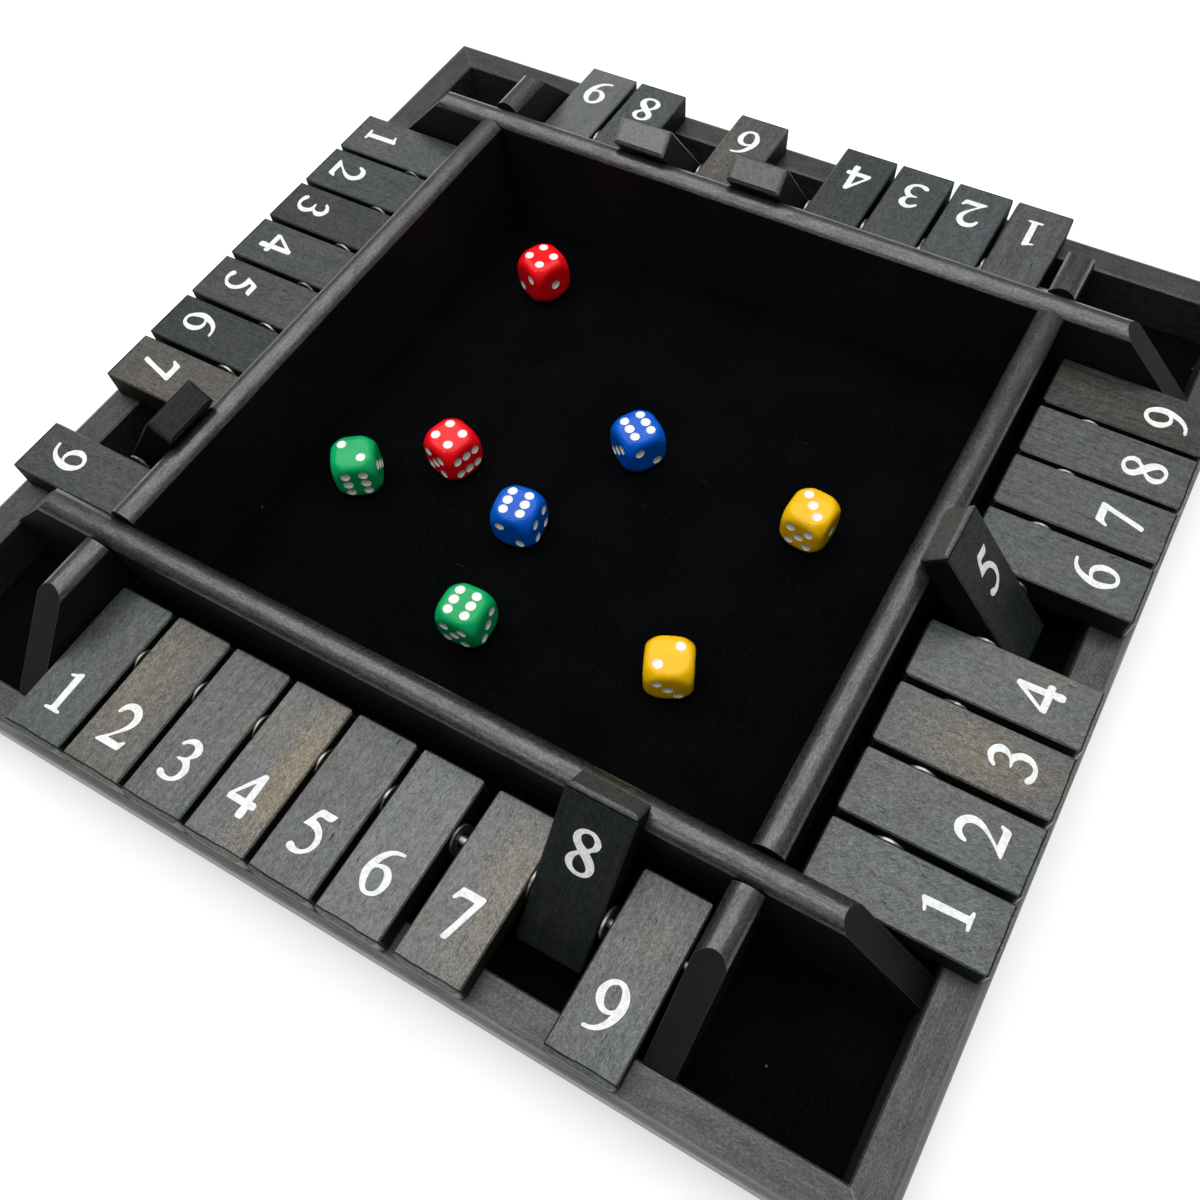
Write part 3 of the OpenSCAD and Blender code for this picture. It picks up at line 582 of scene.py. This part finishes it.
stencils = {}
for number, loops in outlines.items():
    bpy.ops.object.add(type="CURVE", location=(0, 0, 0))
    stencil = bpy.context.object
    stencil.data.dimensions = "2D"
    stencil.data.fill_mode = "BOTH"
    stencil.data.resolution_u = 5
    stencil.data.extrude = paint_thick / 2
    lows = [min(p[k] for p in loops[0]) for k in (0, 1)]
    highs = [max(p[k] for p in loops[0]) for k in (0, 1)]
    middle = [(lows[k] + highs[k]) / 2 for k in (0, 1)]
    for loop in loops:
        spline = stencil.data.splines.new("BEZIER")
        spline.bezier_points.add(len(loop) - 1)
        spline.use_cyclic_u = True
        shape_handles(spline, [(x - middle[0], y - middle[1]) for x, y in loop])
    bpy.ops.object.convert(target="MESH")
    bpy.ops.object.mode_set(mode="EDIT")
    bpy.ops.mesh.select_all(action="SELECT")
    bpy.ops.mesh.remove_doubles(threshold=0.004)
    bpy.ops.mesh.normals_make_consistent(inside=False)
    bpy.ops.object.mode_set(mode="OBJECT")
    stencils[number] = stencil.data.copy()
    bpy.data.objects.remove(stencil)

millimetres = Matrix.Scale(0.001, 4)
for name, pose in flap_pose.items():
    side, number = name.split("_")[1:]
    across, along = printed[side][int(number)]
    across_under, along_under = printed_under.get(name, (across, along))
    faces = (("top", Matrix.Translation((across, along - flap_reach, flap_face))),
             ("under", Matrix.Translation((across_under, along_under - flap_reach, -flap_face))
              @ Matrix.Rotation(math.pi, 4, "X")))
    for painted_shade_and_marks, place in faces:
        mesh = stencils[int(number)].copy()
        mesh.transform(pose @ millimetres @ place)
        mesh.materials.clear()
        mesh.materials.append(white_paint)
        print_on = bpy.data.objects.new("number_%s_%s_%s" % (side, number, painted_shade_and_marks), mesh)
        bpy.context.collection.objects.link(print_on)
        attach(print_on, name)

# Dice: eight moulded plastic dice in four colours, tumbled until their edges and corners are round.
# The pips are shallow bowls, painted inside with white enamel.
die_half, edge_round, corner_ball = 7.0, 2.2, 9.35                       # mm
voxel, tumbling = 0.5, 20                                                # mm, and smoothing rounds
cap_top = 0.4                                      # mm, how far a pip's cutter stands above its face
pip_round, pip_sunk, pip_out, six_across, six_along = 1.55, 0.45, 2.95, 2.75, 3.5
die_colours = {"red": (0.80, 0.004, 0.010, 1), "green": (0.004, 0.36, 0.11, 1),
               "blue": (0.001, 0.095, 0.55, 1), "yellow": (0.88, 0.50, 0.004, 1)}
# Turn of each die in degrees, its values on top, in front and at the right, and whether their
# pips are mirrored.
dice = {
    "die_red_1": (-23, (4, 2, 1), (0, 1, 0)), "die_red_2": (-15.5, (4, 5, 6), (0, 0, 1)),
    "die_green_1": (36.3, (2, 6, 3), (0, 0, 0)), "die_green_2": (3.2, (6, 5, 3), (0, 0, 1)),
    "die_blue_1": (-33, (6, 3, 2), (1, 1, 0)), "die_blue_2": (8, (6, 2, 4), (0, 0, 0)),
    "die_yellow_1": (-4, (3, 5, 1), (0, 0, 0)), "die_yellow_2": (24.5, (2, 3, 1), (1, 0, 0)),
}
enamel_white, enamel_thin = (0.84, 0.83, 0.79, 1), (0.70, 0.69, 0.65, 1)
enamel, tree, shader = new_material("white_enamel", Specular_IOR_Level=0.4)
place = put(tree, "ShaderNodeTexCoord").outputs["Object"]
dab = noise(tree, place, 900, 3, 2.0)
tree.links.new(blend(tree, ramp(tree, dab, 0.3, 0.7), enamel_white, enamel_thin),
               shader.inputs["Base Color"])
tree.links.new(ramp(tree, dab, 0.3, 0.7, 0.25, 0.4), shader.inputs["Roughness"])
bump = put(tree, "ShaderNodeBump", {"Height": dab, "Strength": 0.5, "Distance": 0.00006})
tree.links.new(bump.outputs[0], shader.inputs["Normal"])

# The blank: a cube with rounded edges, its corners turned off by a ball, then tumbled smooth.
bpy.ops.mesh.primitive_cube_add(size=2 * die_half)
blank = bpy.context.object
bpy.ops.object.mode_set(mode="EDIT")
bpy.ops.mesh.select_all(action="SELECT")
bpy.ops.mesh.bevel(offset=edge_round, segments=5, affect="EDGES")
bpy.ops.object.mode_set(mode="OBJECT")
bpy.ops.mesh.primitive_ico_sphere_add(subdivisions=5, radius=corner_ball)
ball = bpy.context.object
turned_off = blank.modifiers.new("ball", "BOOLEAN")
turned_off.operation, turned_off.solver, turned_off.object = "INTERSECT", "EXACT", ball
bpy.context.view_layer.objects.active = blank
bpy.ops.object.modifier_apply(modifier="ball")
bpy.data.objects.remove(ball)
blank.data.remesh_voxel_size = voxel
bpy.ops.object.voxel_remesh()
bpy.ops.object.mode_set(mode="EDIT")
bpy.ops.mesh.select_all(action="SELECT")
bpy.ops.mesh.vertices_smooth(factor=0.5, repeat=tumbling)
bpy.ops.object.mode_set(mode="OBJECT")

# The cutter of a pip: the cap of a ball, closed by bisecting it just above the face.
bowl = (pip_round ** 2 + pip_sunk ** 2) / (2 * pip_sunk)
bpy.ops.object.select_all(action="DESELECT")
bpy.ops.mesh.primitive_uv_sphere_add(segments=20, ring_count=34, radius=bowl,
                                     location=(0, 0, bowl - pip_sunk))
pip_cutter = bpy.context.object
bpy.ops.object.transform_apply()
bpy.ops.object.mode_set(mode="EDIT")
bpy.ops.mesh.select_all(action="SELECT")
bpy.ops.mesh.bisect(plane_co=(0, 0, cap_top), plane_no=(0, 0, 1), clear_outer=True, use_fill=True)
bpy.ops.object.mode_set(mode="OBJECT")
cap_mesh = pip_cutter.data.copy()
bpy.data.objects.remove(pip_cutter)


def pip_places(value, mirrored):
    """Where the pips of a face are, in millimetres from its middle."""
    if value == 6:
        places = [(x * six_across, y * six_along) for x in (-1, 1) for y in (-1, 0, 1)]
    else:
        places = [(0, 0)] if value % 2 else []
        if value > 1:
            places += [(-pip_out, pip_out), (pip_out, -pip_out)]
        if value > 3:
            places += [(-pip_out, -pip_out), (pip_out, pip_out)]
    return [(y, -x) for x, y in places] if mirrored else places


die_faces = ((0, (0, 0, 0)), (1, (90, 0, 0)), (2, (90, 0, 90)), (0, (180, 0, 0)),
             (1, (90, 0, 180)), (2, (90, 0, 270)))
plastics = {}
for colour, tint in die_colours.items():
    plastic, tree, shader = new_material(
        "plastic_" + colour, Specular_IOR_Level=0.20, Subsurface_Weight=0.1,
        Subsurface_Radius=(1.0, 0.6, 0.6), Subsurface_Scale=0.002)
    place = put(tree, "ShaderNodeTexCoord").outputs["Object"]
    swirl = noise(tree, place, 160, 3, 6.0)
    scuffs = ramp(tree, noise(tree, stretch(tree, place, (900, 2600, 1500)), 1.0, 3), 0.58, 0.68)
    deep = tuple(0.85 * c for c in tint[:3]) + (1,)
    tree.links.new(blend(tree, ramp(tree, swirl, 0.3, 0.7), tint, deep), shader.inputs["Base Color"])
    tree.links.new(sum_up(tree, "MULTIPLY_ADD", scuffs, 0.12,
                          ramp(tree, swirl, 0.3, 0.7, 0.10, 0.16)), shader.inputs["Roughness"])
    bump = put(tree, "ShaderNodeBump", {"Height": swirl, "Strength": 0.5, "Distance": 0.0001})
    tree.links.new(bump.outputs[0], shader.inputs["Normal"])
    plastics[colour] = plastic
for name, (turn, values, mirrored) in dice.items():
    low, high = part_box(name)
    stands = Matrix.Translation((low + high) / 2) @ Matrix.Rotation(math.radians(turn), 4, "Z")
    caps = []
    for painted_shade_and_marks, (which, turns) in enumerate(die_faces):
        value = values[which] if painted_shade_and_marks < 3 else 7 - values[which]
        turned = Matrix.Identity(4)
        for angle, axis in zip(reversed(turns), "ZYX"):
            turned = turned @ Matrix.Rotation(math.radians(angle), 4, axis)
        for x, y in pip_places(value, mirrored[which]):
            mesh = cap_mesh.copy()
            mesh.transform(turned @ Matrix.Translation((x, y, die_half)))
            caps.append(bpy.data.objects.new("caps_" + name, mesh))
            bpy.context.collection.objects.link(caps[-1])
    bpy.ops.object.select_all(action="DESELECT")
    for piece in caps:
        piece.select_set(True)
    bpy.context.view_layer.objects.active = caps[0]
    bpy.ops.object.join()
    cutter = bpy.context.object
    die = bpy.data.objects.new("tumbled_" + name, blank.data.copy())
    bpy.context.collection.objects.link(die)
    for material in (plastics[name.split("_")[1]], enamel):
        die.data.materials.append(material)
        cutter.data.materials.append(material)
    for polygon in cutter.data.polygons:
        polygon.material_index = 1
    drilled = die.modifiers.new("pips", "BOOLEAN")
    drilled.operation, drilled.solver, drilled.object = "DIFFERENCE", "EXACT", cutter
    bpy.ops.object.select_all(action="DESELECT")
    die.select_set(True)
    bpy.context.view_layer.objects.active = die
    bpy.ops.object.modifier_apply(modifier="pips")
    bpy.data.objects.remove(cutter)
    bpy.ops.object.shade_smooth_by_angle(angle=math.radians(24))
    die.data.transform(stands @ millimetres)
    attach(die, name)
    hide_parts(name)
bpy.data.objects.remove(blank)

# The table: a broad white table top under the game. Far out, past the lamp's reach, it gives its
# own white instead.
bpy.ops.object.select_all(action="DESELECT")
table_size, table_drop = 40, 0.0003                # m
lamp_reach, white_from = 0.45, 1.7                 # m from the middle
bpy.ops.mesh.primitive_plane_add(size=table_size, location=(0, 0, -table_drop))
floor = bpy.context.object
floor.name = "floor"
floor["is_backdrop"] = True
floor_paint, tree, shader = new_material("floor_paint", Roughness=0.9, Specular_IOR_Level=0.0)
shader.inputs["Base Color"].default_value = (0.62, 0.62, 0.62, 1)
shader.inputs["Emission Color"].default_value = (1, 1, 1, 1)
rays = put(tree, "ShaderNodeLightPath").outputs
seen = sum_up(tree, "MAXIMUM", rays["Is Camera Ray"],
              sum_up(tree, "MAXIMUM", rays["Is Glossy Ray"], rays["Is Transmission Ray"]))
far_out = put(tree, "ShaderNodeVectorMath", {0: put(tree, "ShaderNodeTexCoord").outputs["Object"]},
              operation="LENGTH").outputs["Value"]
own_white = ramp(tree, far_out, lamp_reach, white_from, 0.41, 1.0)
tree.links.new(sum_up(tree, "MULTIPLY", seen, own_white), shader.inputs["Emission Strength"])
floor.data.materials.append(floor_paint)

# Light: one broad soft lamp overhead, towards the back left, in a room that is pale above and dark
# low down in front, with one small window high in front.
wall_low, wall_high = (0.10, 0.10, 0.10, 1), (0.55, 0.55, 0.55, 1)
front_dark = (0.02, 0.02, 0.02, 1)
window_bright = (4.0, 4.0, 4.0, 1)
window_way = (-0.20, -0.60, 0.775)
bpy.ops.object.light_add(type="AREA", location=(-0.23, 0.185, 0.86))
lamp = bpy.context.object
lamp.data.shape = "RECTANGLE"
lamp.data.size, lamp.data.size_y = 1.30, 1.07
lamp.data.energy = 10.4
world = bpy.data.worlds.new("room")
bpy.context.scene.world = world
world.use_nodes = True
tree = world.node_tree
sky = put(tree, "ShaderNodeSeparateXYZ", {0: put(tree, "ShaderNodeTexCoord").outputs["Generated"]})
light = tree.nodes["Background"]
walls = blend(tree, ramp(tree, sky.outputs[2], 0.0, 0.8), wall_low, wall_high)
front = sum_up(tree, "MULTIPLY", ramp(tree, sky.outputs[1], -0.2, -0.7, 0.0, 0.8),
               ramp(tree, sky.outputs[2], 0.60, 0.38))
walls = blend(tree, front, walls, front_dark)
toward = put(tree, "ShaderNodeVectorMath", {0: put(tree, "ShaderNodeTexCoord").outputs["Generated"],
                                            1: window_way}, operation="DOT_PRODUCT")
window = ramp(tree, toward.outputs["Value"], 0.982, 0.992)
walls = blend(tree, window, walls, window_bright)
straight = put(tree, "ShaderNodeLightPath").outputs["Is Camera Ray"]
tree.links.new(blend(tree, straight, walls, (1, 1, 1, 1)), light.inputs["Color"])

# Camera: above the front right corner, tilted steeply down.
camera_place = (0.1088, -0.16191, 0.25139)         # m
tilt, lean, heading = 25.764, 2.343, 29.787        # degrees about X, Y and Z, from straight down
bpy.ops.object.camera_add(location=camera_place,
                          rotation=[math.radians(a) for a in (tilt, lean, heading)])
camera = bpy.context.object
camera.data.sensor_width = 36
camera.data.lens = 29.769
camera.data.shift_x, camera.data.shift_y = -0.01683, 0.09458
camera.data.clip_start = 0.01
bpy.context.scene.camera = camera
bpy.context.scene.view_settings.view_transform = "Standard"

low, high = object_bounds()
